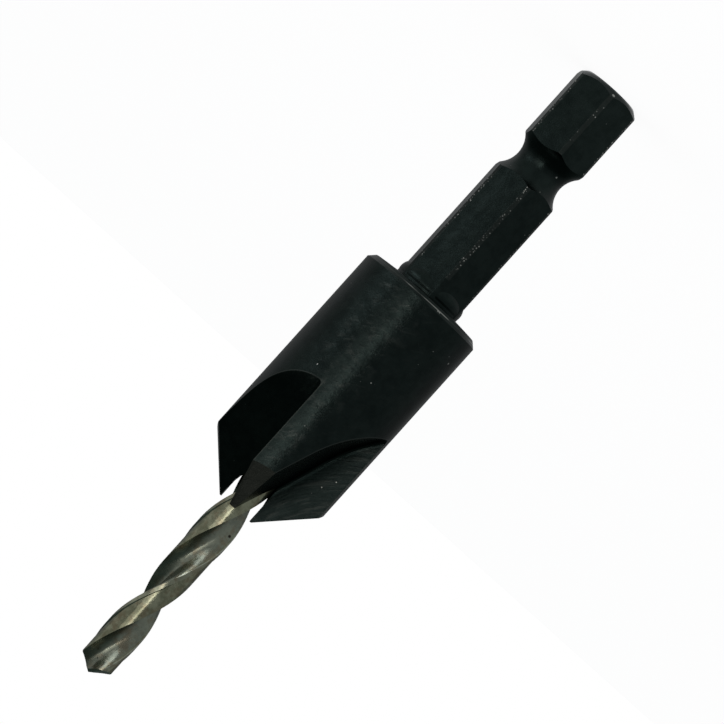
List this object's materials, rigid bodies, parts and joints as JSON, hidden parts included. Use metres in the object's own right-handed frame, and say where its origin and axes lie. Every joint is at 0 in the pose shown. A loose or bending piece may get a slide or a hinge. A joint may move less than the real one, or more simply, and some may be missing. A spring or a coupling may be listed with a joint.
{
  "type": "countersink bit",
  "caption": "Countersink bit with a pilot twist drill in its nose, straight flutes, a conical cutting end and a grooved hex power shank.",
  "frame": {"origin": "centre of the shank's end face, on the tool's axis", "axes": "+Z along the tool from the shank's end to the drill's point; +X square to the rake face of the tooth that points along -Y; cutting turns it counter-clockwise seen from +Z"},
  "size_m": [0.0126, 0.0126, 0.0699],
  "materials": {
    "black_oxide_steel": "satin black oxide, lightly worn on its edges",
    "bright_tool_steel": "bright ground tool steel",
    "screw_steel": "satin black oxide"
  },
  "bodies": {
    "root": {"countersink_body": "black_oxide_steel", "pilot_drill": "bright_tool_steel", "set_screw": "screw_steel"}
  },
  "joints": []
}
